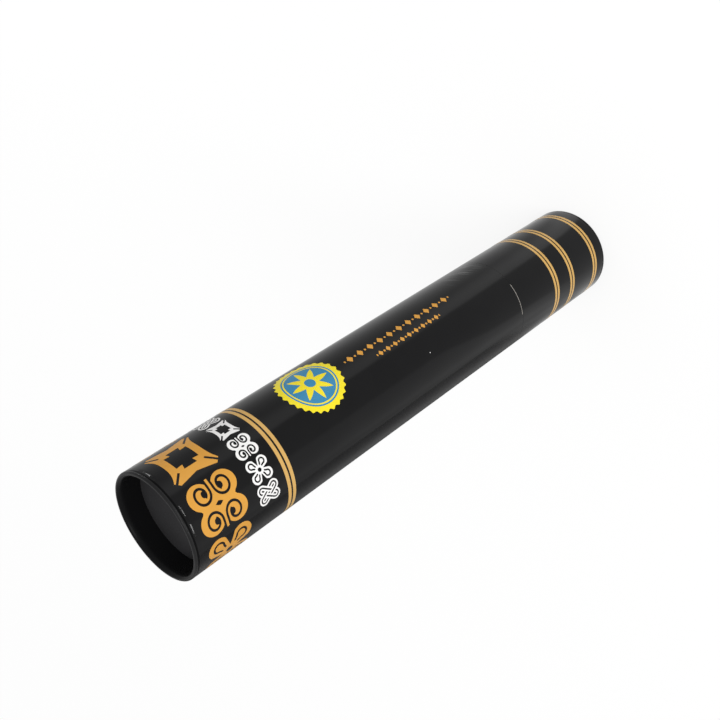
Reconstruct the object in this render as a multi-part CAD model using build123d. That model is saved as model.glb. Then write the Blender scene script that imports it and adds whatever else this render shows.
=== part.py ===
"""Diploma tube: a wound board tube with rolled rims, closed by a lid that slides over its neck.

The closed tube stands on the lid's rim, with its axis on +Z, the lid at the bottom
and the base of the body at the top. All sizes are in millimetres.
"""
import os

from build123d import *

# Overall sizes of the closed tube
tube_diameter = 55.0
tube_length = 328.6
lid_length = 89.0

# Board, with its printed wrap glued on
wall = 1.5
liner_wall = 1.5
disc_thickness = 2.0

# Rolled rims: the end of the wall is turned in on itself and glued down
hem_depth = 11.8
roll_height = 3.5
crest_round = 1.0
crest_land = 0.3

# Neck: the liner stands out of the body's mouth by this much
neck_height = 55.0
neck_lead = 0.8

# Mouths of body and lid, which meet at the seam
mouth_round = 0.3
mouth_lead = 0.6

# Fits, as gaps in the radius
liner_clearance = 0.1
disc_clearance = 0.1

# Sizes that follow from those above
outer_radius = tube_diameter / 2
bore_radius = outer_radius - wall
hem_radius = bore_radius - wall
body_length = tube_length - lid_length
liner_outer_radius = bore_radius - liner_clearance
liner_bore_radius = liner_outer_radius - liner_wall
liner_bottom = lid_length - neck_height
disc_radius = bore_radius - disc_clearance
base_disc_top = tube_length - hem_depth
base_disc_bottom = base_disc_top - disc_thickness


def mouth_corners(section):
    """Corners of the mouth in a tube's section, from the bore outwards."""
    return section.vertices().group_by(Axis.Y)[-1].sort_by(Axis.X)


def rolled_tube(length):
    """Tube wall that stands on its rolled rim, with its open mouth at the top.

    The section runs up the outside, over the mouth, down the bore to the cut edge of the
    turned-in leg, and back along that leg. The rim has a tight round outside, a narrow flat
    crest and a long quarter ellipse down to the leg.
    """
    crest_outside = outer_radius - crest_round
    crest_inside = crest_outside - crest_land
    roll_width = crest_inside - hem_radius
    with BuildPart() as tube:
        with BuildSketch(Plane.XZ) as section:
            with BuildLine():
                Line((crest_inside, 0), (crest_outside, 0))
                EllipticalCenterArc((crest_outside, crest_round), crest_round, crest_round, 270, arc_size=90)
                Polyline(
                    (outer_radius, crest_round),
                    (outer_radius, length),
                    (bore_radius, length),
                    (bore_radius, hem_depth),
                    (hem_radius, hem_depth),
                    (hem_radius, roll_height),
                )
                EllipticalCenterArc((crest_inside, roll_height), roll_width, roll_height, 180, arc_size=90)
            make_face()
            fillet(mouth_corners(section)[-1], mouth_round)
            chamfer(mouth_corners(section)[0], mouth_lead)
        revolve(axis=Axis.Z)
    return tube.part


def end_disc():
    """Flat board disc, as wide as the tube's bore less its glue gap, standing on z = 0."""
    return Cylinder(disc_radius, disc_thickness, align=(Align.CENTER, Align.CENTER, Align.MIN))


def neck_liner():
    """Inner tube from the base disc down to the neck's mouth, which is bevelled to lead the lid on."""
    liner_height = base_disc_bottom - liner_bottom
    with BuildPart() as liner:
        with BuildSketch():
            Circle(liner_outer_radius)
            Circle(liner_bore_radius, mode=Mode.SUBTRACT)
        extrude(amount=liner_height)
        lip = liner.edges().group_by(Axis.Z)[0].sort_by(SortBy.RADIUS)[-1]
        chamfer(lip, length=neck_lead, length2=liner_wall / 2)
    return Pos(0, 0, liner_bottom) * liner.part


def turned_over(shape):
    """The same piece upside down, hung from the top of the closed tube."""
    return Pos(0, 0, tube_length) * Rot(180, 0, 0) * shape


nodes = {
    "lid_tube": rolled_tube(lid_length),
    "lid_disc": Pos(0, 0, hem_depth) * end_disc(),
    "body_tube": turned_over(rolled_tube(body_length)),
    "base_disc": Pos(0, 0, base_disc_bottom) * end_disc(),
    "neck_liner": neck_liner(),
}

os.makedirs("parts", exist_ok=True)
for name, shape in nodes.items():
    export_step(shape, f"parts/{name}.step")
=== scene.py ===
"""Diploma tube: black film wraps with gold and white print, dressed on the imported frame.

Lengths are in millimetres until a mesh, node, lamp or camera is made, which is in metres. A place on
the print is (along, turn): the distance in millimetres from the base's rim towards the lid, and the
angle in degrees round the tube, counted upwards in the photograph.
"""

import logging
import math
from dataclasses import dataclass
from enum import Enum, IntEnum
from functools import partial, reduce
from typing import Callable

import bpy
import numpy as np
from mathutils import Matrix, Vector

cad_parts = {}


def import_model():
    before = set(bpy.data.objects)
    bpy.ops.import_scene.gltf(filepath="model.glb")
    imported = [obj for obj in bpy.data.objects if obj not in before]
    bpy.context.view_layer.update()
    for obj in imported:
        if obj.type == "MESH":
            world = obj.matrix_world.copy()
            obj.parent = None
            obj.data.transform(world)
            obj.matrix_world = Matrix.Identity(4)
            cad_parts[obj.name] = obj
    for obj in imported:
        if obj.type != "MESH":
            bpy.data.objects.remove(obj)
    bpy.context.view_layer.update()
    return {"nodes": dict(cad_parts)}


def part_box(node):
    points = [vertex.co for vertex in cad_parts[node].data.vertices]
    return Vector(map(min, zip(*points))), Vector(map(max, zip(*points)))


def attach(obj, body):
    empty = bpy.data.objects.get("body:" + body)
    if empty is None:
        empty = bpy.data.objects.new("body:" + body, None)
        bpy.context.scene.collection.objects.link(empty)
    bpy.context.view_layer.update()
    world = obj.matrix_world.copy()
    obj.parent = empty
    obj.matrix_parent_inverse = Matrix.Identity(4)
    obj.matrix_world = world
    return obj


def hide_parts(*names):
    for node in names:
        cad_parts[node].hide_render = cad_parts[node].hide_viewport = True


log = logging.getLogger("diploma_tube")
MILLIMETRE = 0.001
ROOT_TWO = math.sqrt(2)

Array = np.ndarray
Field = Callable[[Array, Array], Array]
Sheet = tuple[Array, Array]
Material = bpy.types.Material
Piece = bpy.types.Object
Socket = bpy.types.NodeSocket

# The liner's gap in the radius, and the print's angle that faces -Y
LINER_CLEARANCE = 0.1
PRINT_FACING = -41.469
PRINT_TURN = -90.0 - PRINT_FACING

# Depths of the film and the layers of ink below the tube's full radius, and a layer's thickness
WRAP_UNDER = 0.075
BASE_INK_UNDER = 0.045
SECOND_INK_UNDER = 0.03
THIRD_INK_UNDER = 0.015
FOURTH_INK_UNDER = 0.005
INK_THICKNESS = 0.02


class Body(Enum):
    """The two bodies that slide apart."""

    LID = "lid"
    TUBE = "tube"


class Slot(Enum):
    """Names of the record's material slots, one for each kind of new piece."""

    WRAP = "black_wrap"
    GOLD = "gold_print"
    WHITE = "white_print"
    YELLOW = "yellow_print"
    BLUE = "blue_print"


class Motif(Enum):
    """The four traditional signs that are repeated round the tube."""

    STAR = "stars"
    HORNS = "horns"
    FLOWER = "flowers"
    KNOT = "knots"


class Stretch(IntEnum):
    """What a stretch of a wrap's section is a part of."""

    CREST = 0
    CREASE = 1
    WALL = 2
    LIP = 3
    EDGE = 4
    BORE = 5
    LEG = 6


def in_metres(sizes: tuple) -> tuple:
    """Sizes in millimetres as metres."""
    return tuple(size * MILLIMETRE for size in sizes)


# Finishes


def shaded(colour: tuple, share: float) -> tuple:
    """The colour times a share of its light."""
    return tuple(part * share for part in colour)


def grey(light: float) -> tuple:
    """The grey that gives back a share of the light."""
    return (light, light, light)


@dataclass(frozen=True)
class Grain:
    """A noise: its waves in a metre, its octaves and how its coordinates are scaled on each axis."""

    scale: float
    detail: float = 2.0
    stretch: tuple = (1, 1, 1)


MOTTLE = Grain(60, 4)
RUBBING = Grain(90, 5, (1, 1, 0.25))
RIPPLE = Grain(24, 2.5, (1, 1, 0.6))
PEEL = Grain(420)
FELT = Grain(900, 3)
CLOUD = Grain(45, 3)
NOISE_MIDDLE = (0.3, 0.7)


class NodeTree:
    """Adds shader nodes to one new material and joins them."""

    def __init__(self, name: str) -> None:
        """Makes the material with its principled shader ready.

        Args:
            name: the material's name.
        """
        self.material = bpy.data.materials.new(name)
        self.material.use_nodes = True
        self.tree = self.material.node_tree
        self.shader = self.tree.nodes["Principled BSDF"]
        self.coordinates = self.add("ShaderNodeTexCoord").outputs["Object"]

    def add(self, kind: str, inputs: dict | None = None, **settings: object) -> bpy.types.Node:
        """Adds a node.

        Args:
            kind: the node's type name.
            inputs: constants or output sockets by input name or number.
            **settings: the node's own settings.

        Returns:
            The new node.
        """
        node = self.tree.nodes.new(kind)
        for key, value in settings.items():
            setattr(node, key, value)
        self.feed(node, inputs or {})
        return node

    def feed(self, node: bpy.types.Node, inputs: dict) -> None:
        """Sets or links a node's inputs.

        Args:
            node: the node.
            inputs: constants or output sockets by input name or number.
        """
        for key, value in inputs.items():
            if isinstance(value, Socket):
                self.tree.links.new(value, node.inputs[key])
            else:
                node.inputs[key].default_value = value

    def axis(self, name: str) -> Socket:
        """One of the object's own coordinates, X, Y or Z, in metres."""
        return self.add("ShaderNodeSeparateXYZ", {0: self.coordinates}).outputs[name]

    def turn(self) -> Socket:
        """Angle round the tube's axis from +X, in radians."""
        return self.maths("ARCTAN2", self.axis("Y"), self.axis("X"))

    def azimuth(self) -> Socket:
        """Angle round the tube's axis from +X, in degrees."""
        return self.maths("DEGREES", self.turn())

    def noise(self, grain: Grain, vector: Socket | None = None) -> Socket:
        """Noise over a surface.

        Args:
            grain: what it is like.
            vector: the coordinates that it reads, where they aren't the object's own.

        Returns:
            The noise, from 0 to 1.
        """
        place = {"Vector": self.coordinates if vector is None else vector, "Scale": grain.stretch}
        stretched = self.add("ShaderNodeMapping", place).outputs["Vector"]
        wave = {"Vector": stretched, "Scale": grain.scale, "Detail": grain.detail}
        return self.add("ShaderNodeTexNoise", wave).outputs["Fac"]

    def spread(self, noise: Socket, low: float, high: float) -> Socket:
        """The middle of a noise's range spread between two values.

        Args:
            noise: the noise.
            low: result where that middle starts.
            high: result where it ends.

        Returns:
            The spread value.
        """
        start, end = NOISE_MIDDLE
        reach = {"Value": noise, "From Min": start, "From Max": end, "To Min": low, "To Max": high}
        return self.add("ShaderNodeMapRange", reach).outputs["Result"]

    def maths(self, operation: str, first: Socket | float, second: Socket | float = 0.0) -> Socket:
        """One step of arithmetic, whose second value counts only where the operation takes two."""
        return self.add("ShaderNodeMath", {0: first, 1: second}, operation=operation).outputs[0]

    def product(self, *factors: Socket | float) -> Socket:
        """The factors multiplied together."""
        return reduce(partial(self.maths, "MULTIPLY"), factors)

    def total(self, *terms: Socket | float) -> Socket:
        """The terms added together."""
        return reduce(partial(self.maths, "ADD"), terms)

    def ramp(self, value: Socket, start: float, end: float) -> Socket:
        """Smooth step of a value, from 0 at start to 1 at end."""
        reach = {"Value": value, "From Min": start, "From Max": end}
        return self.add("ShaderNodeMapRange", reach, interpolation_type="SMOOTHSTEP").outputs["Result"]

    def tint(self, factor: Socket, first: tuple | Socket, second: tuple) -> Socket:
        """Mixes two colours.

        Args:
            factor: 0 for the first colour, 1 for the second.
            first: linear red, green and blue, or a colour socket.
            second: linear red, green and blue.

        Returns:
            The mixed colour.
        """
        node = self.add("ShaderNodeMix", data_type="RGBA")
        base = (*first, 1) if isinstance(first, tuple) else first
        self.feed(node, {0: factor, 6: base, 7: (*second, 1)})
        return node.outputs[2]

    def bump(self, height: Socket, depth: float, under: Socket | None = None) -> Socket:
        """Bump from a height.

        Args:
            height: the height, from 0 to 1.
            depth: what a height of 1 is, in millimetres.
            under: the normal of a coarser bump below this one.

        Returns:
            The bumped normal.
        """
        parts = {"Height": height, "Distance": depth * MILLIMETRE, "Strength": 1.0}
        if under is not None:
            parts["Normal"] = under
        return self.add("ShaderNodeBump", parts).outputs["Normal"]


@dataclass(frozen=True)
class ScuffAndSheenPatch:
    """Pale slanting streaks in a patch of the wall beside the body's mouth: scuffing and painted sheen.

    Each side, in degrees from +X, and each end, in height, is where the patch starts to show and where
    it shows fully.
    """

    light: float = 0.1
    sides: tuple = ((-50.0, -38.0), (-4.0, -20.0))
    ends: tuple = ((89.0, 95.0), (130.0, 108.0))
    radius: float = 27.5
    slant: float = 0.52
    streaks: Grain = Grain(520, 3, (1, 0.12, 1))
    shown: tuple = (0.47, 0.7)

    def share(self, nodes: NodeTree) -> Socket:
        """Noise on the unrolled wall, stretched along a slant, that fades out round the patch.

        Args:
            nodes: the material being made.

        Returns:
            The share of scuffing and painted sheen, 0 outside the patch.
        """
        azimuth, height = nodes.azimuth(), nodes.axis("Z")
        edges = [nodes.ramp(azimuth, *side) for side in self.sides]
        edges += [nodes.ramp(height, *in_metres(end)) for end in self.ends]
        arc = nodes.product(nodes.turn(), self.radius * MILLIMETRE)
        across = nodes.maths("SUBTRACT", height, nodes.product(arc, self.slant))
        along = nodes.total(arc, nodes.product(height, self.slant))
        slanted = nodes.add("ShaderNodeCombineXYZ", {"X": across, "Y": along}).outputs["Vector"]
        streak = nodes.ramp(nodes.noise(self.streaks, slanted), *self.shown)
        return nodes.product(streak, *edges)


@dataclass(frozen=True)
class FilmFinish:
    """Ink under a clear laminating film: smooth, with slow ripples that bend its reflections."""

    name: str
    colour: tuple
    mottle: float = 0.9
    ior: float = 1.2
    roughness: tuple = (0.08, 0.14)
    ripple: float = 0.5
    peel: float = 0.008
    scuffs_and_sheen: ScuffAndSheenPatch | None = None

    def material(self) -> Material:
        """Ink mottled slightly, film rubbed slightly, and the ripple and peel of the film as bumps.

        Returns:
            The new material.
        """
        nodes = NodeTree(self.name)
        mottle = nodes.spread(nodes.noise(MOTTLE), 0, 1)
        colour = nodes.tint(mottle, shaded(self.colour, self.mottle), self.colour)
        # Pale streaks of scuffing and painted sheen of wrinkled film, mixed into the colour
        if self.scuffs_and_sheen:
            colour = nodes.tint(self.scuffs_and_sheen.share(nodes), colour, grey(self.scuffs_and_sheen.light))
        ripple = nodes.bump(nodes.noise(RIPPLE), self.ripple)
        film = {
            "Base Color": colour,
            "Roughness": nodes.spread(nodes.noise(RUBBING), *self.roughness),
            "IOR": self.ior,
            "Normal": nodes.bump(nodes.noise(PEEL), self.peel, ripple),
        }
        nodes.feed(nodes.shader, film)
        return nodes.material


@dataclass(frozen=True)
class BoardFinish:
    """Plain paper-faced board: satin, with a fine felt grain. A wound one says how far a winding rises."""

    name: str
    colour: tuple
    roughness: tuple = (0.42, 0.58)
    gloss: float = 0.5
    cloud: float = 0.8
    grain: float = 0.02
    winding: float = 0.0
    butt_depth: float = 0.12
    butt_width: float = 0.012

    def material(self) -> Material:
        """Paper with a fine grain and, where it is wound, the butt line of its spiral plies.

        Returns:
            The new material.
        """
        nodes = NodeTree(self.name)
        grain = nodes.noise(FELT)
        cloud = nodes.spread(nodes.noise(CLOUD), 0, 1)
        normal = nodes.bump(grain, self.grain)
        if self.winding:
            normal = nodes.bump(self.spiral(nodes), self.butt_depth, normal)
        paper = {
            "Base Color": nodes.tint(cloud, shaded(self.colour, self.cloud), self.colour),
            "Roughness": nodes.spread(grain, *self.roughness),
            "Specular IOR Level": self.gloss,
            "Normal": normal,
        }
        nodes.feed(nodes.shader, paper)
        return nodes.material

    def spiral(self, nodes: NodeTree) -> Socket:
        """Height of the wound ply: axial height plus turn, in windings, with a narrow dip at each whole.

        Args:
            nodes: the material being made.

        Returns:
            The height, 0 in the butt line and 1 elsewhere.
        """
        turns = nodes.maths("DIVIDE", nodes.turn(), math.tau)
        rises = nodes.maths("DIVIDE", nodes.axis("Z"), self.winding * MILLIMETRE)
        wave = nodes.maths("PINGPONG", nodes.total(rises, turns), 0.5)
        edge = {"Value": wave, "From Min": 0.0, "From Max": self.butt_width}
        return nodes.add("ShaderNodeMapRange", edge).outputs["Result"]


BLACK_FILM = FilmFinish("black film", (0.006, 0.006, 0.0064), mottle=0.8, scuffs_and_sheen=ScuffAndSheenPatch())
# Film on the crest: worn, and lighter also as a painted sheen for the crest's upward face
WORN_AND_SHEEN_FILM = FilmFinish("worn black film with painted sheen", (0.016, 0.016, 0.0165), mottle=0.7, roughness=(0.2, 0.35))
# Film in the crease under the crest, darker and less glossy: painted shade in the groove
CREASE_SHADE_FILM = FilmFinish("creased black film with painted shade", (0.005, 0.005, 0.0053), ior=1.07, roughness=(0.2, 0.35))
TURNED_FILM = FilmFinish("turned-in black film", (0.007, 0.007, 0.0074), ior=1.14, roughness=(0.25, 0.4))
GOLD_INK = FilmFinish("gold ink", (0.71, 0.345, 0.058), mottle=0.92)
BAND_INK = FilmFinish("pale gold ink", (0.68, 0.415, 0.13))
WHITE_INK = FilmFinish("white ink", (0.9, 0.89, 0.88), mottle=0.95)
YELLOW_INK = FilmFinish("yellow ink", (0.93, 0.77, 0.03), mottle=0.95)
BLUE_INK = FilmFinish("blue ink", (0.05, 0.26, 0.47))
END_BOARD = BoardFinish("black end board", (0.034, 0.0334, 0.035), gloss=0.04)
LINER_PAPER = BoardFinish("black liner paper", (0.022, 0.021, 0.021), winding=64.0)
CUT_EDGE = BoardFinish("cut paper edge", (0.34, 0.32, 0.29), roughness=(0.7, 0.85))
WRAP_FINISHES = (BLACK_FILM, CUT_EDGE, WORN_AND_SHEEN_FILM, CREASE_SHADE_FILM, TURNED_FILM)


# Meshes


def make_piece(name: str, points: Array, triangles: Array, normals: Array | None = None) -> Piece:
    """Puts a triangle mesh into the scene, smooth, at the origin.

    Args:
        name: the piece's name.
        points: its corners in millimetres, one row each.
        triangles: three corner numbers a row, anticlockwise from outside.
        normals: the surface's own normals at the corners, where the faces alone don't give them.

    Returns:
        The new object.
    """
    mesh = bpy.data.meshes.new(name)
    mesh.vertices.add(len(points))
    mesh.vertices.foreach_set("co", (points * MILLIMETRE).astype(np.float32).ravel())
    mesh.loops.add(triangles.size)
    mesh.loops.foreach_set("vertex_index", triangles.astype(np.int32).ravel())
    mesh.polygons.add(len(triangles))
    mesh.polygons.foreach_set("loop_start", np.arange(0, triangles.size, 3, dtype=np.int32))
    mesh.polygons.foreach_set("use_smooth", np.ones(len(triangles), dtype=bool))
    mesh.update(calc_edges=True)
    if normals is not None:
        mesh.normals_split_custom_set_from_vertices(normals.astype(np.float32))
    piece = bpy.data.objects.new(name, mesh)
    bpy.context.scene.collection.objects.link(piece)
    return piece


def dress(piece: Piece, body: Body, slot: Slot, *materials: Material) -> None:
    """Gives a new piece its body and its materials, and reports it.

    Args:
        piece: the new piece.
        body: the body that it rides on.
        slot: the record's slot; not used.
        *materials: the piece's materials in order.
    """
    for material in materials:
        piece.data.materials.append(material)
    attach(piece, body.value)
    log.info("%s: %d triangles on %s", piece.name, len(piece.data.polygons), body.value)


def grid_triangles(rows: int, columns: int) -> Array:
    """Triangles of a grid that closes on itself both ways.

    Args:
        rows: points along the first parameter.
        columns: points along the second.

    Returns:
        Three point numbers a row, for points numbered row by row.
    """
    row, column = np.meshgrid(np.arange(rows), np.arange(columns), indexing="ij")
    here, after = row * columns, (row + 1) % rows * columns
    beside = (column + 1) % columns
    first = np.stack([here + column, here + beside, after + beside], -1)
    second = np.stack([here + column, after + beside, after + column], -1)
    return np.stack([first, second], 2).reshape(-1, 3)


def quarter(centre: tuple, wide: float, high: float, start: float, count: int) -> Array:
    """Quarter of an ellipse: the centre plus (wide cos, high sin) over a quarter turn.

    Args:
        centre: its centre.
        wide: half width.
        high: half height.
        start: angle of its start in degrees.
        count: points, with the last one left for what follows.

    Returns:
        One point a row.
    """
    angle = np.radians(start + np.linspace(0, 90, count, endpoint=False))
    return np.stack([centre[0] + wide * np.cos(angle), centre[1] + high * np.sin(angle)], -1)


def run(start: tuple, end: tuple, count: int) -> Array:
    """Straight run of points from start up to, but without, end."""
    return np.linspace(start, end, count, endpoint=False)


def uneven(turn: Array, seed: int) -> Array:
    """Slow unevenness round the tube: a sum of sines of the angle, from about -1 to 1.

    Args:
        turn: angles in radians.
        seed: picks the phases.

    Returns:
        The sum at each angle.
    """
    waves, fall, reach = np.array([2, 5, 9, 14, 23, 37]), -0.35, 1.6
    phase = np.random.default_rng(seed).uniform(0, math.tau, len(waves))
    return (np.sin(turn[..., None] * waves + phase) * waves**fall).sum(-1) / reach


@dataclass(frozen=True)
class TubeSizes:
    """Sizes of the closed tube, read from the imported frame."""

    radius: float
    length: float
    seam: float
    hem_depth: float
    hem_radius: float
    bore: float

    @classmethod
    def from_frame(cls) -> "TubeSizes":
        """Reads the boxes of the body's tube, disc and liner; the hem is a second wall inside the bore.

        Returns:
            The sizes in millimetres.
        """
        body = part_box("body_tube")
        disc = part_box("base_disc")
        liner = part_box("neck_liner")
        radius = body[1][0] / MILLIMETRE
        bore = liner[1][0] / MILLIMETRE + LINER_CLEARANCE
        length = body[1][2] / MILLIMETRE
        hem_depth = length - disc[1][2] / MILLIMETRE
        return cls(radius, length, body[0][2] / MILLIMETRE, hem_depth, 2 * bore - radius, bore)


@dataclass(frozen=True)
class Roll:
    """The surface that the print lies on."""

    sizes: TubeSizes

    def points(self, along: Array, turn: Array, under: float | Array) -> Array:
        """Points on the roll: the radius less a depth, turned by the angle, below the base's rim.

        Args:
            along: millimetres from the base's rim.
            turn: degrees round the tube.
            under: depth below the tube's full radius.

        Returns:
            One point for each place, along a new last axis.
        """
        angle = np.radians(turn + PRINT_TURN)
        radius = self.sizes.radius - under
        parts = (radius * np.cos(angle), radius * np.sin(angle), self.sizes.length - along)
        return np.stack(np.broadcast_arrays(*parts), -1)

    def degrees(self, arc: Array) -> Array:
        """Degrees that an arc in millimetres takes up."""
        return np.degrees(arc / self.sizes.radius)


# The wrapped tubes


@dataclass
class WrappedTube:
    """A board tube in its glued black film, turned in over a rolled rim at one end.

    Heights are above the rim. A pinch is its place in the print's degrees and half its width.
    """

    name: str
    node: str
    body: Body
    sizes: TubeSizes
    length: float
    upside_down: bool
    seed: int
    lap_turn: float
    pinches: tuple
    mouth_round: float
    crease_depth: float
    # Marks the rim: worn film with painted sheen on the crest, and painted shade in the crease
    rim_wear_and_painted_light: bool = False
    # Stretch of the mouth's rounding in bare paper, which also stands in for the seam's highlight: painted
    # highlight
    bare_lip_and_highlight: tuple = ()
    roll_height: float = 3.5
    crest_round: float = 1.0
    crest_land: float = 0.3
    crest_film: float = 1.2
    crease_end: float = 2.2
    shoulder: float = 6.0
    lip: float = 0.35
    mouth_lead: float = 0.6
    crease_place: float = 2.2
    crease_wander: float = 0.15
    crease_flanks: tuple = (0.35, 1.1)
    crease_least: float = 0.3
    crease_unrest: float = 0.12
    pinch_gain: float = 1.6
    pleat_depth: float = 0.05
    pleat_start: float = 0.35
    lap_step: float = 0.03
    lap_fade: float = 3.0
    sharp_angle: float = 35.0
    columns: int = 420

    def section(self) -> tuple[Array, Array]:
        """Section of the tube: up the outside, over the mouth, down the bore and hem, up to the crest.

        Returns:
            The points as (radius, height) rows, and the stretch that each row is in.
        """
        outside = self.sizes.radius - WRAP_UNDER
        hem, bore, deep = self.sizes.hem_radius, self.sizes.bore, self.sizes.hem_depth
        top, lead, mouth, high = self.length, self.mouth_lead, self.mouth_round, self.roll_height
        lip_start, lip_end = top - mouth - self.lip, top - mouth
        crest = self.crest_round
        outer = self.sizes.radius - crest
        inner = outer - self.crest_land
        stretches = [
            (Stretch.CREST, run((outside, crest), (outside, self.crest_film), 8)),
            (Stretch.CREASE, run((outside, self.crest_film), (outside, self.crease_end), 14)),
            (Stretch.WALL, run((outside, self.crease_end), (outside, self.shoulder), 40)),
            (Stretch.WALL, run((outside, self.shoulder), (outside, lip_start), 46)),
            (Stretch.LIP, run((outside, lip_start), (outside, lip_end), 2)),
            (Stretch.LIP, quarter((outside - mouth, lip_end), mouth, mouth, 0, 6)),
            (Stretch.EDGE, run((outside - mouth, top), (bore + lead, top), 2)),
            (Stretch.EDGE, run((bore + lead, top), (bore, top - lead), 2)),
            (Stretch.BORE, run((bore, top - lead), (bore, deep), 6)),
            (Stretch.EDGE, run((bore, deep), (hem, deep), 3)),
            (Stretch.LEG, run((hem, deep), (hem, high), 8)),
            (Stretch.LEG, quarter((inner, high), inner - hem, high, 180, 24)),
            (Stretch.CREST, run((inner, 0), (outer, 0), 2)),
            (Stretch.CREST, quarter((outer, crest), outside - outer, crest, 270, 12)),
        ]
        points = np.concatenate([part for _, part in stretches])
        kinds = np.concatenate([np.full(len(part), kind) for kind, part in stretches])
        return points, kinds

    def build(self) -> None:
        """The section carried round the axis, pressed in by the film's crease, pleats and lap."""
        section, kinds = self.section()
        turn = np.linspace(0, math.tau, self.columns, endpoint=False)[None, :]
        radius, height = section[:, :1], section[:, 1:]
        radius = radius - self.pressed_in(kinds[:, None], height, turn)
        triangles = grid_triangles(len(section), self.columns)
        if self.upside_down:
            height = self.sizes.length - height
            triangles = triangles[:, ::-1]
        parts = np.broadcast_arrays(radius * np.cos(turn), radius * np.sin(turn), height)
        piece = make_piece(self.name, np.stack(parts, -1).reshape(-1, 3), triangles)
        piece.data.set_sharp_from_angle(angle=math.radians(self.sharp_angle))
        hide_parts(self.node)
        dress(piece, self.body, Slot.WRAP, *(finish.material() for finish in WRAP_FINISHES))
        chosen = np.repeat(self.finish_numbers(kinds, turn[0]).ravel(), 2)
        piece.data.polygons.foreach_set("material_index", chosen)

    def pressed_in(self, kinds: Array, height: Array, turn: Array) -> Array:
        """Depth of the surface below the section.

        The lap is a step that fades once round the tube. The crease is a groove below the crest, a bell
        curve of the height with a steep and a gentle flank, whose place and depth wander and which is
        deepest at the pinches. Pleats are narrow dips in the turned-in leg, which faces the axis.

        Args:
            kinds: the stretch that each row of the section is in.
            height: height of each row above the rim.
            turn: angle of each column in radians.

        Returns:
            The depth at each row and column.
        """
        lap = self.lap_step * ((turn - math.radians(self.lap_turn)) / math.tau % 1.0)
        lap = lap * np.clip((height - self.shoulder) / self.lap_fade, 0, 1)
        lap = np.where((kinds == Stretch.WALL) | (kinds == Stretch.LIP), lap, 0)
        pinches = np.array(self.pinches)
        apart = (np.degrees(turn)[..., None] - PRINT_TURN - pinches[:, 0] + 180) % 360 - 180
        pinched = self.pinch_gain * np.exp(-((apart / pinches[:, 1]) ** 4)).sum(-1)
        least = self.crease_least + self.crease_unrest * uneven(turn, self.seed + 1)
        depth = self.crease_depth * np.maximum(least, np.minimum(pinched, 1))
        offset = height - self.crease_place - self.crease_wander * uneven(turn, self.seed)
        crease = depth * np.exp(-((offset / np.where(offset < 0, *self.crease_flanks)) ** 2))
        crease = np.where((kinds == Stretch.WALL) | (kinds == Stretch.CREASE), crease, 0)
        fold = np.clip(uneven(3 * turn, self.seed + 2) - self.pleat_start, 0, None)
        pleat = np.where(kinds == Stretch.LEG, -self.pleat_depth * fold, 0)
        return lap + crease + pleat

    def finish_numbers(self, kinds: Array, turn: Array) -> Array:
        """Picks finishes: paper at cut edges and on the lip's bare stretch (a painted highlight too), film
        elsewhere.

        Args:
            kinds: the stretch that each row of the section is in.
            turn: angle of each column in radians.

        Returns:
            The place in WRAP_FINISHES for each row and column.
        """
        bare = np.zeros(self.columns, dtype=bool)
        if self.bare_lip_and_highlight:
            start, end = np.radians(np.array(self.bare_lip_and_highlight) + PRINT_TURN) % math.tau
            bare = (turn > start) & (turn < end)
        cut = (kinds == Stretch.EDGE)[:, None] | ((kinds == Stretch.LIP)[:, None] & bare)
        numbers = np.full(cut.shape, WRAP_FINISHES.index(BLACK_FILM), dtype=np.int32)
        numbers[cut] = WRAP_FINISHES.index(CUT_EDGE)
        numbers[kinds == Stretch.LEG] = WRAP_FINISHES.index(TURNED_FILM)
        # A marked rim: worn film with painted sheen on the crest, darker film as painted shade in the
        # crease
        if self.rim_wear_and_painted_light:
            numbers[kinds == Stretch.CREST] = WRAP_FINISHES.index(WORN_AND_SHEEN_FILM)
            numbers[kinds == Stretch.CREASE] = WRAP_FINISHES.index(CREASE_SHADE_FILM)
        return numbers


def wrapped_tubes(sizes: TubeSizes) -> tuple[WrappedTube, WrappedTube]:
    """The two wraps, which meet at the seam.

    Args:
        sizes: sizes of the closed tube.

    Returns:
        The lid's wrap and the body's.
    """
    lid = WrappedTube(
        "lid_wrap",
        "lid_tube",
        Body.LID,
        sizes,
        length=sizes.seam,
        upside_down=False,
        seed=11,
        lap_turn=112.0,
        pinches=((-20.0, 8.0), (62.0, 7.0), (130.0, 8.0), (-95.0, 6.0)),
        mouth_round=0.1,
        crease_depth=0.1,
    )
    body = WrappedTube(
        "body_wrap",
        "body_tube",
        Body.TUBE,
        sizes,
        length=sizes.length - sizes.seam,
        upside_down=True,
        seed=5,
        lap_turn=165.0,
        pinches=((-62.0, 7.0), (-43.0, 6.5), (6.0, 11.0), (88.0, 9.0), (150.0, 7.0), (-150.0, 8.0)),
        mouth_round=0.12,
        crease_depth=0.235,
        rim_wear_and_painted_light=True,
        # The bare paper stretch also paints the highlight along the seam
        bare_lip_and_highlight=(-77.0, -38.0),
    )
    return lid, body


# Signs, drawn at a size of about 25 mm


def nearest(along: Array, across: Array, start: tuple, end: tuple) -> tuple[Array, Array]:
    """Distance to a straight segment, and how far along it the nearest point is.

    Args:
        along: first coordinate of the points.
        across: second coordinate.
        start: the segment's start.
        end: its end.

    Returns:
        The distance, and the share of the segment from 0 to 1.
    """
    reach = (end[0] - start[0], end[1] - start[1])
    share = (along - start[0]) * reach[0] + (across - start[1]) * reach[1]
    share = np.clip(share / (reach[0] ** 2 + reach[1] ** 2), 0, 1)
    return np.hypot(along - start[0] - share * reach[0], across - start[1] - share * reach[1]), share


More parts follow.
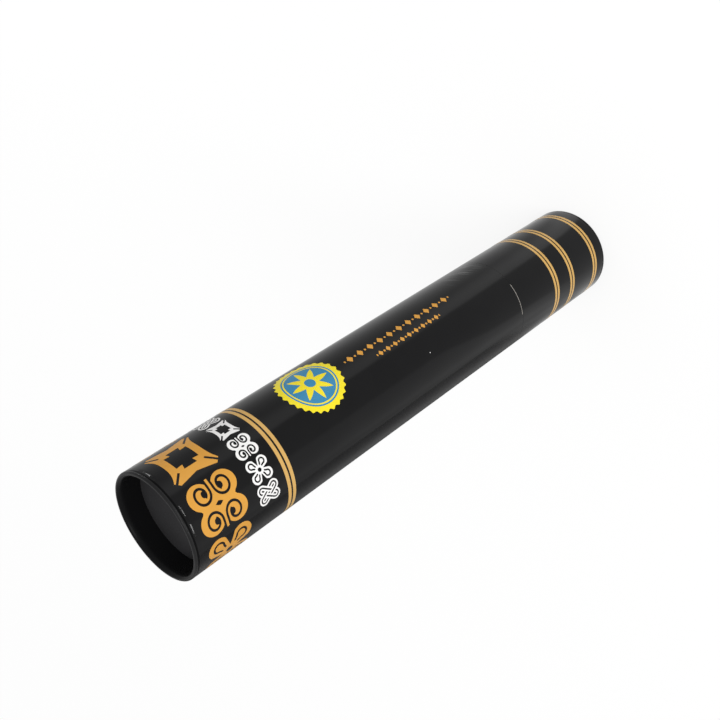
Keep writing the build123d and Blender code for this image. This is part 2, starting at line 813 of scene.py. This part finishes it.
def star(along: Array, across: Array, cut: float) -> Array:
    """Notched star: a square with bent sides and slit corners, its square hole with a spur at each corner.

    Its edges are straight lines, and cubic curves on two sides, folded into one quarter; the least
    distance to them is the depth.

    Args:
        along: millimetres along the tube from the sign's middle.
        across: millimetres round the tube.
        cut: half the width of the slits.

    Returns:
        Depth inside the ink, negative outside.
    """
    x, y = np.abs(along), np.abs(across)
    bent_side = 9.65 + 0.0022 * y**3 - x
    straight_side = 10.4 + 0.21 * x - y
    corner = (22.2 - x - y) / ROOT_TWO
    spur = np.minimum(y - 4.45 + 0.1 * (6.0 - x), x - 2.75 - 0.26 * (y - 4.1))
    hole = np.minimum.reduce([6.0 - x, 6.6 - y, -spur])
    slit = np.minimum(cut - np.abs(x - y) / ROOT_TWO, (x + y) / ROOT_TWO - 9.7)
    return np.minimum.reduce([bent_side, straight_side, corner, -hole, -slit])


def horns(along: Array, across: Array, cut: float) -> Array:
    """Ram's horns: four round scrolls on two stems, each cut by a spiral groove that shrinks with its turn.

    The groove comes in beside the stem, runs once round the scroll and ends in a comma.

    Args:
        along: millimetres along the tube from the sign's middle.
        across: millimetres round the tube.
        cut: half the width of the groove.

    Returns:
        Depth inside the ink, negative outside.
    """
    x, y = np.abs(along), np.abs(across)
    scroll = 6.0 - np.hypot(x - 6.45, y - 6.15)
    stem = np.minimum(0.6 - x, 11.6 - y)
    waist = np.minimum(1.2 - y, np.maximum(8.8 - x, 0.54 * (y - 1.55 * (x - 8.8))))
    solid = np.maximum.reduce([scroll, stem, waist, 4.4 - np.hypot(x, y)])
    middle, stretch, shrink = (5.45, 6.6), 1.14, 2.1
    start = middle[0] - 0.6 - cut
    left, down = middle[0] - x, (middle[1] - y) / stretch
    turn = np.arctan2(down, left) / math.tau % 1.0
    radius = np.hypot(left, down)
    first = np.abs(radius - start + shrink * turn)
    first = np.where((turn > 0.75) & (x < middle[0] - start + cut), np.inf, first)
    second = np.where(turn < 0.16, np.abs(radius - start + shrink * (turn + 1)), np.inf)
    entry = np.where(y > middle[1], np.abs(x - middle[0] + start), np.inf)
    groove = cut - np.minimum.reduce([first, second, entry])
    comma = 1.25 * (1 - np.hypot((x - 4.4) / 1.25, (y - 6.45) / 1.6))
    lozenge = 0.9 - np.hypot(0.42 * x, 0.77 * y) - 0.3 * np.sqrt(np.abs(x * y))
    return np.minimum.reduce([solid, -groove, -comma, -lozenge])


def flower(along: Array, across: Array, cut: float) -> Array:
    """Four petals on the diagonals that widen outwards, each with a horseshoe groove, round an open eye.

    Args:
        along: millimetres along the tube from the sign's middle.
        across: millimetres round the tube.
        cut: half the width of the groove.

    Returns:
        Depth inside the ink, negative outside.
    """
    x, y = np.abs(along), np.abs(across)
    reach, share = nearest(x, y, (1.6, 1.5), (6.45, 6.2))
    petal = 2.5 + 3.1 * share - reach
    centre = 3.7 - np.hypot(x, y)
    tip, bow_radius, opening = 8.9, 2.7, math.radians(136)
    out, side = (x + y) / ROOT_TWO - tip, np.abs(x - y) / ROOT_TWO
    bow = np.where(np.arctan2(side, out) < opening, np.abs(np.hypot(out, side) - bow_radius), np.inf)
    foot = (bow_radius * math.cos(opening), bow_radius * math.sin(opening))
    leg, _ = nearest(out, side, foot, (-3.9, 1.2))
    groove = cut - np.minimum(bow, leg)
    eye = 1.25 + cut - np.hypot(along, across)
    return np.minimum.reduce([np.maximum(petal, centre), -groove, -eye])


def knot(along: Array, across: Array, cut: float) -> Array:
    """Two long loops woven through each other, each a strand with a dark line along its middle.

    A strand is a range of distances from the loop's long middle line. The one that passes under at a
    crossing loses its dark line there.

    Args:
        along: millimetres along the tube from the sign's middle.
        across: millimetres round the tube.
        cut: half the width of the dark line.

    Returns:
        Depth inside the ink, negative outside.
    """
    half, strand_edge, line_place = (6.9, 4.85), 5.65, 3.15
    falling, _ = nearest(along, across, (-half[0], half[1]), (half[0], -half[1]))
    rising, _ = nearest(along, across, (-half[0], -half[1]), half)
    strand = [np.minimum(far - cut, strand_edge - far) for far in (falling, rising)]
    line = [cut - np.abs(far - line_place) for far in (falling, rising)]
    upright = 4 * (np.abs(across) / 3.9 - np.abs(along) / 5.25)
    over = np.minimum(line[0], np.maximum(-strand[1], upright))
    under = np.minimum(line[1], np.maximum(-strand[0], -upright))
    return np.minimum.reduce([np.maximum(*strand), -over, -under])


SIGN_REACH = 13.5
SHAPES: dict[Motif, Callable[[Array, Array, float], Array]] = {
    Motif.STAR: star,
    Motif.HORNS: horns,
    Motif.FLOWER: flower,
    Motif.KNOT: knot,
}


# Print


def flat_sheet(shape: Field, half: tuple, step: float) -> Sheet:
    """Flat triangles that fill a shape.

    A square grid covers the shape. Where a grid line crosses the outline, the nearer of its two ends
    moves onto the outline along the shape's steepest slope, and the cells inside are kept.

    Args:
        shape: depth inside the shape at each place.
        half: half the length and half the width of the grid.
        step: width of a cell.

    Returns:
        The points as (along, across) rows, and three point numbers for each triangle.
    """
    moves, least_slope, small = 3, 0.2, step / 50
    axes = [np.linspace(-size, size, 2 * round(size / step) + 1) for size in half]
    along, across = np.meshgrid(*axes, indexing="ij")
    depth = shape(along, across)
    inside = depth > 0
    onto = np.zeros_like(inside)
    for a, b in ((np.s_[:-1, :], np.s_[1:, :]), (np.s_[:, :-1], np.s_[:, 1:])):
        crossed = inside[a] != inside[b]
        nearer = np.abs(depth[a]) <= np.abs(depth[b])
        onto[a] |= crossed & nearer
        onto[b] |= crossed & ~nearer
    for _ in range(moves):
        far = np.where(onto, shape(along, across), 0)
        slope = [
            (shape(along + small, across) - shape(along - small, across)) / (2 * small),
            (shape(along, across + small) - shape(along, across - small)) / (2 * small),
        ]
        steep = np.maximum(slope[0] ** 2 + slope[1] ** 2, least_slope)
        along = along - np.clip(far * slope[0] / steep, -step / 2, step / 2)
        across = across - np.clip(far * slope[1] / steep, -step / 2, step / 2)
    state = np.where(onto, 0, np.where(inside, 1, -1)).ravel()
    number = np.arange(along.size).reshape(along.shape)
    a, b, c, d = number[:-1, :-1], number[1:, :-1], number[1:, 1:], number[:-1, 1:]
    slanted = ((state[a] < 0) | (state[c] < 0))[..., None]
    first = np.where(slanted, np.stack([a, b, d], -1), np.stack([a, b, c], -1)).reshape(-1, 3)
    second = np.where(slanted, np.stack([b, c, d], -1), np.stack([a, c, d], -1)).reshape(-1, 3)
    triangles = np.concatenate([first, second])
    flat = np.stack([along.ravel(), across.ravel()], -1)
    centre = flat[triangles].mean(1)
    kept = (state[triangles].min(1) >= 0) & (shape(centre[:, 0], centre[:, 1]) > 0)
    used, renumbered = np.unique(triangles[kept], return_inverse=True)
    return flat[used], renumbered.reshape(-1, 3)


def side_normals(points: Array, inner: Array) -> Array:
    """Normals of a thin layer on the roll: straight out from the axis, and straight in on its inner face.

    Args:
        points: the layer's points, one row each.
        inner: which of them are on the inner face.

    Returns:
        One normal a row.
    """
    normals = points * (1, 1, 0)
    normals[inner] *= -1
    return normals / np.linalg.norm(normals, axis=1, keepdims=True)


def ink_piece(name: str, roll: Roll, sheet: Sheet, places: list, under: float = BASE_INK_UNDER) -> Piece:
    """Wraps a flat sheet round the tube at each place, as a thin closed layer.

    The outer face is the sheet on the roll, the inner face the same sheet below it, and each edge that
    belongs to one triangle only is joined to its twin below by two triangles.

    Args:
        name: the piece's name.
        roll: the surface to wrap round.
        sheet: the sheet's points as (along, across) rows, and its triangles.
        places: the (along, turn) of each copy's middle.
        under: depth of the outer face below the tube's full radius.

    Returns:
        The new object.
    """
    flat, triangles = sheet
    middle = np.array(places)
    along = middle[:, :1] + flat[None, :, 0]
    turn = middle[:, 1:] + roll.degrees(flat[None, :, 1])
    faces = [roll.points(along, turn, depth) for depth in (under, under + INK_THICKNESS)]
    points = np.concatenate(faces, 1).reshape(-1, 3)
    count = len(flat)
    edges = np.concatenate([triangles[:, [0, 1]], triangles[:, [1, 2]], triangles[:, [2, 0]]])
    _, back, times = np.unique(np.sort(edges, 1), axis=0, return_inverse=True, return_counts=True)
    start, end = edges[times[back.ravel()] == 1].T
    wall = [np.stack([end, start, start + count], -1), np.stack([end, start + count, end + count], -1)]
    one = np.concatenate([triangles, triangles[:, ::-1] + count, *wall])
    every = (one[None] + (np.arange(len(middle)) * 2 * count)[:, None, None]).reshape(-1, 3)
    inner = np.tile(np.repeat([False, True], count), len(middle))
    return make_piece(name, points, every, side_normals(points, inner))


@dataclass
class SymbolRing:
    """A row of the four signs round the tube, in one ink."""

    name: str
    slot: Slot
    finish: FilmFinish
    along: float
    size: float
    step: float
    cut: float
    places: tuple[tuple[Motif, float], ...]

    def build(self, roll: Roll) -> None:
        """Makes one piece for each sign, with all its copies in the ring.

        Args:
            roll: the surface to print on.
        """
        material = self.finish.material()
        for motif in Motif:
            places = [(self.along, turn) for shown, turn in self.places if shown is motif]
            shape = partial(SHAPES[motif], cut=self.cut)
            flat, triangles = flat_sheet(shape, (SIGN_REACH, SIGN_REACH), self.step / self.size)
            piece = ink_piece(f"{self.name}_{motif.value}", roll, (flat * self.size, triangles), places)
            dress(piece, Body.TUBE, self.slot, material)


@dataclass
class PrintedBand:
    """A gold band round the tube: two lines with a narrow gap."""

    name: str
    body: Body
    along: float
    line: float = 1.8
    gap: float = 0.95
    columns: int = 360

    def build(self, roll: Roll, material: Material) -> None:
        """Each line is a flat rectangle carried once round the axis.

        Args:
            roll: the surface to print on.
            material: the band's ink.
        """
        near, far = self.gap / 2, self.gap / 2 + self.line
        corners = np.array([(near, far, far, near), (-far, -near, -near, -far)])
        lines, count = corners.shape
        inner = np.array([False, False, True, True])
        under = BASE_INK_UNDER + INK_THICKNESS * inner[:, None]
        turn = np.linspace(0, 360, self.columns, endpoint=False)
        points = roll.points(self.along + corners[..., None], turn, under).reshape(-1, 3)
        loop = grid_triangles(count, self.columns)[:, ::-1]
        triangles = np.concatenate([loop + count * self.columns * number for number in range(lines)])
        normals = side_normals(points, np.tile(np.repeat(inner, self.columns), lines))
        dress(make_piece(self.name, points, triangles, normals), self.body, Slot.GOLD, material)


@dataclass
class Seal:
    """A plain round seal: a scalloped yellow disc, a blue field, a yellow star in a ring, and a blue hub.

    Its shapes take millimetres along and round the tube from the seal's middle, and give the depth
    inside. Shares are of the radius, and a bend is the power that rounds a wave.
    """

    along: float = 93.6
    turn: float = -6.5
    radius: float = 17.6
    margin: float = 1.0
    step: float = 0.25
    scallops: int = 28
    scallop_depth: float = 1.1
    scallop_bend: float = 1.6
    field_share: float = 0.8
    rays: int = 8
    notch_share: float = 0.27
    ray_share: float = 0.37
    ray_bend: float = 1.4
    ray_slope: float = 0.7
    ring_share: float = 0.73
    ring_half: float = 0.35
    hub_share: float = 0.16

    def edge(self, along: Array, across: Array) -> Array:
        """Scalloped disc: the radius less a row of half waves round it."""
        waves = np.abs(np.sin(np.arctan2(across, along) * self.scallops / 2)) ** self.scallop_bend
        return self.radius - self.scallop_depth * waves - np.hypot(along, across)

    def field(self, along: Array, across: Array) -> Array:
        """Plain round field inside the scallops."""
        return self.field_share * self.radius - np.hypot(along, across)

    def star(self, along: Array, across: Array) -> Array:
        """Star in a thin ring, its radius falling from each point to the notches beside it.

        Args:
            along: millimetres along the tube.
            across: millimetres round it.

        Returns:
            Depth inside the star or ring, negative outside both.
        """
        radius = np.hypot(along, across)
        wave = np.abs((np.arctan2(across, along) / math.tau * self.rays) % 1.0 - 0.5) * 2
        reach = self.notch_share * self.radius + self.ray_share * self.radius * wave**self.ray_bend
        ring = self.ring_half - np.abs(radius - self.ring_share * self.radius)
        return np.maximum(self.ray_slope * (reach - radius), ring)

    def hub(self, along: Array, across: Array) -> Array:
        """Round hub in the star's middle."""
        return self.hub_share * self.radius - np.hypot(along, across)

    def build(self, roll: Roll) -> None:
        """Prints the seal in four layers, each above the last.

        Args:
            roll: the surface to print on.
        """
        yellow, blue = YELLOW_INK.material(), BLUE_INK.material()
        half = self.radius + self.margin
        layers = (
            ("seal_edge", self.edge, BASE_INK_UNDER, Slot.YELLOW, yellow),
            ("seal_field", self.field, SECOND_INK_UNDER, Slot.BLUE, blue),
            ("seal_rays", self.star, THIRD_INK_UNDER, Slot.YELLOW, yellow),
            ("seal_hub", self.hub, FOURTH_INK_UNDER, Slot.BLUE, blue),
        )
        for name, shape, under, slot, material in layers:
            sheet = flat_sheet(shape, (half, half), self.step)
            dress(ink_piece(name, roll, sheet, [(self.along, self.turn)], under), Body.TUBE, slot, material)


@dataclass
class Ornament:
    """A gold row of lozenges and dots along the tube."""

    name: str
    along: tuple[float, float]
    turn: float
    height: float
    pitch: float
    lozenge_share: float = 0.26
    lozenge_slope: float = 0.19
    dot: float = 0.62
    margin: float = 1.0
    step: float = 0.14

    def shape(self, along: Array, across: Array) -> Array:
        """Lozenges at even steps with a dot between each two: the nearer of the two in the folded step.

        Args:
            along: millimetres along the tube from the row's middle.
            across: millimetres round it.

        Returns:
            Depth inside the ink, negative outside.
        """
        place = np.abs((along / self.pitch + 0.5) % 1.0 - 0.5) * self.pitch
        y = np.abs(across)
        lozenge = 1 - place / (self.lozenge_share * self.pitch) - y / (self.height / 2)
        dot = self.dot - np.hypot(self.pitch / 2 - place, y)
        reach = (self.along[1] - self.along[0]) / 2 - np.abs(along)
        return np.minimum(np.maximum(lozenge * self.lozenge_slope * self.pitch, dot), reach)

    def build(self, roll: Roll, material: Material) -> None:
        """Prints the row.

        Args:
            roll: the surface to print on.
            material: its ink.
        """
        half = ((self.along[1] - self.along[0]) / 2 + self.margin, self.height / 2 + self.margin)
        sheet = flat_sheet(self.shape, half, self.step)
        piece = ink_piece(self.name, roll, sheet, [(sum(self.along) / 2, self.turn)])
        dress(piece, Body.TUBE, Slot.GOLD, material)


@dataclass
class Nick:
    """A tiny chip in the black ink that shows the white paper."""

    along: float = 162.3
    turn: float = -50.3
    size: float = 0.26
    reach: float = 0.6
    step: float = 0.06

    def shape(self, along: Array, across: Array) -> Array:
        """Uneven spot: a circle whose radius wavers with the angle.

        Args:
            along: millimetres along the tube from its middle.
            across: millimetres round the tube.

        Returns:
            Depth inside the spot, negative outside.
        """
        angle = np.arctan2(across, along)
        waver = 1 + 0.2 * np.sin(3 * angle) + 0.12 * np.sin(5 * angle + 1)
        return self.size * waver - np.hypot(along, across)

    def build(self, roll: Roll, material: Material) -> None:
        """Prints the chip.

        Args:
            roll: the surface it is in.
            material: the white of the paper.
        """
        sheet = flat_sheet(self.shape, (self.reach, self.reach), self.step)
        dress(ink_piece("nick", roll, sheet, [(self.along, self.turn)]), Body.TUBE, Slot.WHITE, material)


GOLD_RING = SymbolRing(
    "gold",
    Slot.GOLD,
    GOLD_INK,
    along=19.2,
    size=1.0,
    step=0.25,
    cut=0.55,
    places=(
        (Motif.FLOWER, -110.2),
        (Motif.HORNS, -55.1),
        (Motif.STAR, 1.7),
        (Motif.KNOT, 57.5),
        (Motif.FLOWER, 113.2),
        (Motif.HORNS, 169.0),
    ),
)
WHITE_STARTS = (-75.0, 28.5, 132.0)
WHITE_STEPS = ((Motif.KNOT, 0.0), (Motif.FLOWER, 24.0), (Motif.HORNS, 50.5), (Motif.STAR, 78.1))
WHITE_RING = SymbolRing(
    "white",
    Slot.WHITE,
    WHITE_INK,
    along=43.4,
    size=0.475,
    step=0.12,
    cut=0.78,
    places=tuple((motif, start + turn) for start in WHITE_STARTS for motif, turn in WHITE_STEPS),
)
BANDS = (
    PrintedBand("body_band", Body.TUBE, 56.35, line=1.9),
    PrintedBand("lid_band_upper", Body.LID, 275.3),
    PrintedBand("lid_band_middle", Body.LID, 291.8),
    PrintedBand("lid_band_lower", Body.LID, 317.3),
)
ORNAMENTS = (
    Ornament("ornament_long", (116.6, 198.6), turn=-8.0, height=4.4, pitch=7.4),
    Ornament("ornament_short", (133.6, 183.6), turn=-21.5, height=3.2, pitch=5.5),
)


# Studio

MATT = {"Roughness": 0.9, "Specular IOR Level": 0.0}
WHITE = (1, 1, 1, 1)
SQUARE = np.array([(0, 1, 2), (0, 2, 3)])


def facing(position: Vector, target: Vector, roll: float = 0.0) -> Matrix:
    """Placing of a camera or lamp that looks along its own -Z from position to target.

    Args:
        position: where it stands, in metres.
        target: what it looks at.
        roll: turn of its right-hand side from the horizontal, in degrees.

    Returns:
        Its world matrix.
    """
    forward = (target - position).normalized()
    level = forward.cross(Vector((0, 0, 1))).normalized()
    upright = level.cross(forward)
    angle = math.radians(roll)
    right = level * math.cos(angle) + upright * math.sin(angle)
    axes = Matrix((right, right.cross(forward), -forward)).transposed()
    return Matrix.Translation(position) @ axes.to_4x4()


def outwards(azimuth: float, elevation: float) -> Vector:
    """Direction of unit length, from degrees round from +X and degrees above the floor."""
    turn, rise = math.radians(azimuth), math.radians(elevation)
    return Vector((math.cos(rise) * math.cos(turn), math.cos(rise) * math.sin(turn), math.sin(rise)))


def put(name: str, data: bpy.types.ID, placing: Matrix) -> bpy.types.Object:
    """Puts a camera or lamp into the scene.

    Args:
        name: its name.
        data: its settings.
        placing: its world matrix.

    Returns:
        The new object.
    """
    item = bpy.data.objects.new(name, data)
    bpy.context.scene.collection.objects.link(item)
    item.matrix_world = placing
    return item


@dataclass(frozen=True)
class Pool:
    """A soft pool of light or shade on the floor, a wedge of directions from the tube's axis.

    Each side, in degrees from +X, is where the pool starts to show and where it shows fully, and so is
    its beginning, in millimetres from the axis. Its second side may swing round with the distance.
    """

    light: float
    sides: tuple
    beginning: tuple = ()
    swing: float = 0.0
    swing_reach: tuple = (120.0, 220.0)

    def glow(self, nodes: NodeTree) -> Socket:
        """Light of the pool: the product of the soft steps at its sides and beginning.

        Args:
            nodes: the floor's material.

        Returns:
            The light that the pool adds, below 0 for shade.
        """
        first, second = self.sides
        azimuth = nodes.azimuth()
        length = nodes.add("ShaderNodeVectorMath", {0: nodes.coordinates}, operation="LENGTH")
        distance = length.outputs["Value"]
        edges = [nodes.ramp(azimuth, *first)]
        if self.swing:
            swing = nodes.product(nodes.ramp(distance, *in_metres(self.swing_reach)), self.swing)
            azimuth = nodes.maths("SUBTRACT", azimuth, swing)
        edges.append(nodes.ramp(azimuth, *second))
        if self.beginning:
            edges.append(nodes.ramp(distance, *in_metres(self.beginning)))
        return nodes.product(*edges, self.light)


@dataclass(frozen=True)
class StripLamp:
    """Low wide lamp a metre off, as bright as its radiance, that glints in the crease under the rim."""

    name: str
    azimuth: float
    height: float
    radiance: float
    size: tuple = (400.0, 32.0)

    def build(self) -> None:
        """Makes the lamp, facing the tube's axis; white paper would have a radiance of 1."""
        data = bpy.data.lights.new(self.name, "AREA")
        data.shape = "RECTANGLE"
        data.size, data.size_y = in_metres(self.size)
        data.energy = self.radiance * math.pi * data.size * data.size_y
        axis = Vector((0, 0, self.height * MILLIMETRE))
        lamp = put(self.name, data, facing(axis + outwards(self.azimuth, 0), axis))
        lamp.visible_camera = False


POOLS = (
    Pool(0.45, ((-178.0, -166.0), (-141.0, -149.0)), beginning=(30.0, 100.0), swing=24.0),
    Pool(1.1, ((-64.0, -56.0), (-18.0, -50.0))),
    Pool(-0.34, ((110.0, 140.0), (179.0, 163.0))),
    Pool(-0.25, ((25.0, 55.0), (120.0, 100.0))),
)
STRIP_LAMPS = (
    StripLamp("strip_left", azimuth=-125.0, height=262.0, radiance=56.0),
    StripLamp("strip_front", azimuth=-91.0, height=280.0, radiance=50.0),
    StripLamp("strip_right", azimuth=6.0, height=168.0, radiance=28.0),
)


@dataclass
class Studio:
    """Pale floor, soft light and the photograph's camera."""

    camera_place: tuple = (0.0, -395.329, 487.171)
    camera_target: tuple = (12.827, -0.417, 185.963)
    camera_roll: float = -122.728
    camera_reach: float = 100000.0
    lens: float = 47.764
    sensor: float = 36.0
    floor_side: float = 24000.0
    floor_height: float = -0.15
    floor_paper: float = 0.2
    floor_glow: float = 0.79
    # The card, seen only in reflections, paints shade into the film on the tube's left side
    card_line: tuple = ((-30.0, 48.0), (-114.0, -8.0))
    card_height: float = 340.0
    card_shade_greys: tuple = (0.15, 0.6)
    card_shade_fade: tuple = (-32.0, -68.0)
    card_foot: tuple = (0.0, 45.0)
    sky: float = 0.74
    key_energy: float = 1.08
    key_spread: float = 32.0
    key_direction: tuple = (-112.0, 42.0)

    def build(self) -> None:
        """Makes everything that isn't the object."""
        bpy.context.scene.view_settings.view_transform = "Standard"
        self.camera()
        self.floor()
        self.card()
        self.world()
        self.key()
        for lamp in STRIP_LAMPS:
            lamp.build()

    def camera(self) -> None:
        """Camera at the photograph's place, rolled so that the standing tube lies across the picture."""
        data = bpy.data.cameras.new("camera")
        data.lens = self.lens
        data.sensor_width = self.sensor
        data.sensor_fit = "HORIZONTAL"
        data.clip_end = self.camera_reach * MILLIMETRE
        place, target = Vector(self.camera_place) * MILLIMETRE, Vector(self.camera_target) * MILLIMETRE
        bpy.context.scene.camera = put("camera", data, facing(place, target, self.camera_roll))

    def floor(self) -> None:
        """Large pale floor that keeps the shadow, lifted to white for rays that see it as background.

        Rays that the film mirrors also see the soft pools.
        """
        half = self.floor_side / 2
        corners = [(-half, -half), (half, -half), (half, half), (-half, half)]
        points = np.column_stack([corners, np.full(len(corners), self.floor_height)])
        floor = make_piece("floor", points, SQUARE)
        nodes = NodeTree("floor paper")
        path = nodes.add("ShaderNodeLightPath").outputs
        seen = nodes.maths("MAXIMUM", path["Is Camera Ray"], path["Is Glossy Ray"])
        seen = nodes.maths("MAXIMUM", seen, path["Is Transmission Ray"])
        pools = nodes.total(*(pool.glow(nodes) for pool in POOLS))
        mirrored = nodes.product(path["Is Glossy Ray"], pools)
        glow = nodes.total(nodes.product(seen, self.floor_glow), mirrored)
        paper = {"Base Color": (*grey(self.floor_paper), 1), **MATT}
        nodes.feed(nodes.shader, {**paper, "Emission Color": WHITE, "Emission Strength": glow})
        floor.data.materials.append(nodes.material)

    def card(self) -> None:
        """Grey card behind the tube's left side that only reflections see: painted shade in the film's
        reflection.

        Its grey darkens towards the tube as painted shade, and its foot fades into the floor.
        """
        start, end = self.card_line
        high = self.card_height
        corners = np.array([(*start, 0), (*end, 0), (*end, high), (*start, high)])
        card = make_piece("card", corners, SQUARE)
        nodes = NodeTree("reflected shade card")
        fade = nodes.ramp(nodes.axis("X"), *in_metres(self.card_shade_fade))
        paper = nodes.tint(fade, *(grey(light) for light in self.card_shade_greys))
        shown = nodes.ramp(nodes.axis("Z"), *in_metres(self.card_foot))
        nodes.feed(nodes.shader, {"Base Color": paper, "Alpha": shown, **MATT})
        card.data.materials.append(nodes.material)
        card.visible_camera = False
        card.visible_diffuse = False
        card.visible_shadow = False

    def world(self) -> None:
        """Even light from all round, seen as white by the camera."""
        world = bpy.data.worlds.new("studio")
        world.use_nodes = True
        tree = world.node_tree
        background = tree.nodes["Background"]
        background.inputs["Color"].default_value = WHITE
        path = tree.nodes.new("ShaderNodeLightPath")
        strength = tree.nodes.new("ShaderNodeMath")
        strength.operation = "MAXIMUM"
        strength.inputs[1].default_value = self.sky
        tree.links.new(path.outputs["Is Camera Ray"], strength.inputs[0])
        tree.links.new(strength.outputs[0], background.inputs["Strength"])
        bpy.context.scene.world = world

    def key(self) -> None:
        """Soft main light from the camera's left, far away."""
        data = bpy.data.lights.new("key", "SUN")
        data.energy = self.key_energy
        data.angle = math.radians(self.key_spread)
        put("key", data, facing(outwards(*self.key_direction), Vector((0, 0, 0))))


def set_material(piece: Piece, material: Material) -> None:
    """Gives a CAD node's object one better material in all its material slots, and reports it.

    Args:
        piece: the node's object.
        material: the better material.
    """
    for place in piece.material_slots:
        place.material = material
    if not piece.material_slots:
        piece.data.materials.append(material)
    log.info("%s: kept, in %s", piece.name, material.name)


def main() -> None:
    """Builds the tube's wraps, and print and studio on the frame."""
    logging.basicConfig(level=logging.INFO, format="%(name)s %(message)s")
    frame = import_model()
    sizes = TubeSizes.from_frame()
    log.info("sizes %s", sizes)
    roll = Roll(sizes)
    for tube in wrapped_tubes(sizes):
        tube.build()
    board = END_BOARD.material()
    set_material(frame["nodes"]["lid_disc"], board)
    set_material(frame["nodes"]["base_disc"], board)
    set_material(frame["nodes"]["neck_liner"], LINER_PAPER.material())
    gold, pale_gold = GOLD_INK.material(), BAND_INK.material()
    for band in BANDS:
        band.build(roll, pale_gold)
    GOLD_RING.build(roll)
    WHITE_RING.build(roll)
    Seal().build(roll)
    for ornament in ORNAMENTS:
        ornament.build(roll, gold)
    Nick().build(roll, WHITE_INK.material())
    Studio().build()


if __name__ == "__main__":
    main()
